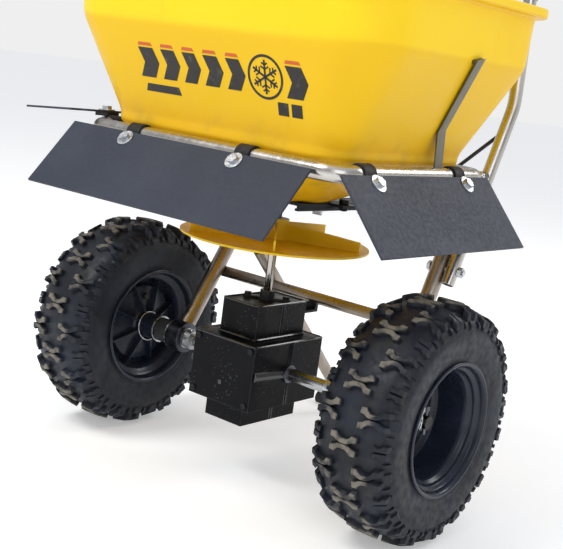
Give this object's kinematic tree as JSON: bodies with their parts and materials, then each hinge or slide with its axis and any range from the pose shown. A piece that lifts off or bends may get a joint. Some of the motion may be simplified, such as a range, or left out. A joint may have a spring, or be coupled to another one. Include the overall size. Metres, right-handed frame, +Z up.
{
  "type": "broadcast salt spreader",
  "caption": "Walk-behind broadcast salt spreader: yellow hopper on a bent tube frame, knobby wheels, ground-driven gearbox, spinner disc and hinged deflector flaps.",
  "frame": {"origin": "on the ground under the middle of the part's own box", "axes": "+Z up; +X along the wheel axle to the right-hand side, seen by the person who pushes; +Y back towards the handle and that person, so the spreader is pushed towards -Y"},
  "size_m": [0.6896, 0.8028, 1.05],
  "materials": {
    "hopper_yellow": "moulded, satin",
    "spinner_yellow": "moulded, satin",
    "stainless": "brushed stainless",
    "zinc": "zinc plated",
    "gear_steel": "machined",
    "gearbox_black": "black enamel",
    "black_hardware": "black powder coat",
    "black_plastic": "moulded",
    "grip_rubber": "matte",
    "rim_black": "moulded, satin",
    "tyre_rubber": "knobby tread",
    "flap_slate": "fine grained sheet"
  },
  "bodies": {
    "chassis": {"hopper": "hopper_yellow", "hopper_strap_left": "stainless", "hopper_strap_right": "stainless", "hopper_bracket_left": "stainless", "hopper_bracket_right": "stainless", "hopper_bolts": "zinc", "ring_tube": "stainless", "ring_brackets": "stainless", "handle_tube_left": "stainless", "handle_tube_right": "stainless", "handle_bar": "stainless", "handle_grips": "grip_rubber", "lower_tube_left": "stainless", "lower_tube_right": "stainless", "frame_bolts": "zinc", "crossbar": "stainless", "stand_leg": "stainless", "stand_foot": "grip_rubber", "axle_housing_left": "stainless", "axle_housing_right": "stainless", "bearing_left": "zinc", "bearing_right": "zinc", "gearbox_front": "gearbox_black", "gearbox_rear": "gearbox_black", "gearbox_screws": "black_hardware", "gearbox_stay": "black_hardware", "shaft_bushing": "black_plastic", "gate_guide": "black_hardware", "gate_guide_screws": "black_hardware", "cable_sheath": "black_plastic", "lever_bracket": "black_hardware"},
    "drive_axle": {"axle": "stainless", "crown_gear": "gear_steel", "axle_collars": "zinc", "axle_spacers": "black_plastic", "axle_washers": "zinc", "lock_rings": "zinc", "hub_pins": "zinc", "rim_right": "rim_black", "tyre_right": "tyre_rubber", "valve_right": "grip_rubber"},
    "idle_wheel": {"rim_left": "rim_black", "tyre_left": "tyre_rubber", "valve_left": "grip_rubber"},
    "spinner": {"spinner_shaft": "stainless", "pinion": "gear_steel", "spinner_disc": "spinner_yellow", "spinner_pin": "zinc", "agitator": "gear_steel"},
    "front_flap": {"flap_front": "flap_slate", "flap_front_clips": "grip_rubber", "flap_front_bolts": "zinc"},
    "right_flap": {"flap_right": "flap_slate", "flap_right_clips": "grip_rubber", "flap_right_bolts": "zinc"},
    "left_flap": {"flap_left": "flap_slate", "flap_left_clips": "grip_rubber", "flap_left_bolts": "zinc"},
    "gate": {"gate_plate": "zinc"},
    "lever": {"control_lever": "gear_steel"}
  },
  "joints": [
    {"name": "axle_spin", "type": "hinge", "parent": "chassis", "child": "drive_axle", "pos_m": [0.00583, -0.13462, 0.168], "axis": [1, 0, 0], "continuous": true},
    {"name": "idle_wheel_spin", "type": "hinge", "parent": "drive_axle", "child": "idle_wheel", "pos_m": [0.00583, -0.13462, 0.168], "axis": [1, 0, 0], "continuous": true},
    {"name": "spinner_spin", "type": "hinge", "parent": "chassis", "child": "spinner", "pos_m": [0.00583, -0.13462, 0.358], "axis": [0, 0, 1], "continuous": true},
    {"name": "front_flap_hinge", "type": "hinge", "parent": "chassis", "child": "front_flap", "pos_m": [-0.01817, -0.30842, 0.4882], "axis": [-1, 0, 0], "range_deg": [-41.2, 58.8]},
    {"name": "right_flap_hinge", "type": "hinge", "parent": "chassis", "child": "right_flap", "pos_m": [0.23113, -0.15362, 0.4882], "axis": [0, -1, 0], "range_deg": [-41.2, 58.8]},
    {"name": "left_flap_hinge", "type": "hinge", "parent": "chassis", "child": "left_flap", "pos_m": [-0.21947, -0.15362, 0.4882], "axis": [0, 1, 0], "range_deg": [-85.4, 14.6]},
    {"name": "lever_swing", "type": "hinge", "parent": "chassis", "child": "lever", "pos_m": [0.19983, 0.33538, 0.944], "axis": [1, 0, 0], "range_deg": [0, 60]},
    {"name": "gate_slide", "type": "slide", "parent": "chassis", "child": "gate", "axis": [0, 1, 0], "range_m": [0, 0.042]}
  ],
  "couplings": [
    {"joint": "spinner_spin", "follows": "axle_spin", "ratio": -2},
    {"joint": "gate_slide", "follows": "lever_swing", "m_per_rad": 0.04}
  ]
}
